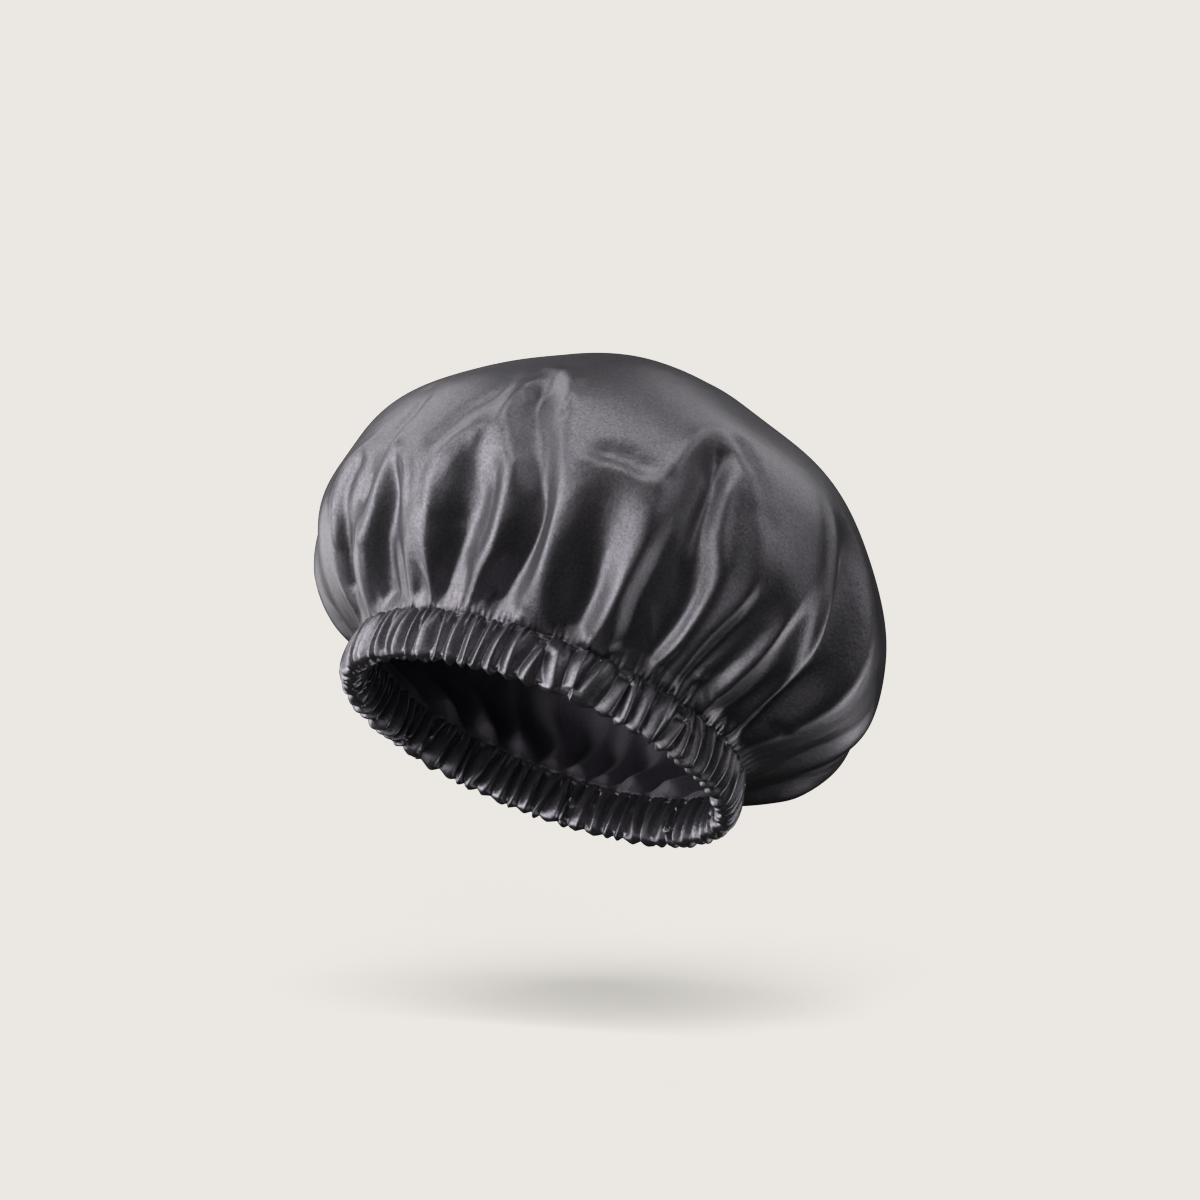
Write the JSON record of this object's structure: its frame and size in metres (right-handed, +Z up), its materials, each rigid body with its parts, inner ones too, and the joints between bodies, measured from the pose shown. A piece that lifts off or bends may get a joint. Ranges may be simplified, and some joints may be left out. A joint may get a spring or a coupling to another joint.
{
  "type": "hair bonnet",
  "caption": "Soft gathered satin bonnet: a full lined crown on a ruffled band with an elastic inside, worn over the hair.",
  "frame": {"origin": "under the middle of the bonnet, on the surface that the band's foot stands on", "axes": "+Z up through the crown, +X along the long side of the opening, -Y towards the side that the picture shows"},
  "size_m": [0.2668, 0.2458, 0.1912],
  "materials": {
    "crown_satin": "charcoal satin, soft broad sheen",
    "lining_satin": "charcoal satin, shiny side to the hair",
    "band_satin": "charcoal satin, gathered into fine ribs",
    "elastic": "knitted elastic, matt",
    "thread": "spun polyester thread"
  },
  "bodies": {
    "root": {"outer_crown": "crown_satin", "crown_lining": "lining_satin", "band_casing": "band_satin", "elastic_band": "elastic", "seam_needle_thread": "thread", "seam_bobbin_thread": "thread", "elastic_lap_stitch": "thread", "casing_join_stitch": "thread"}
  },
  "joints": []
}
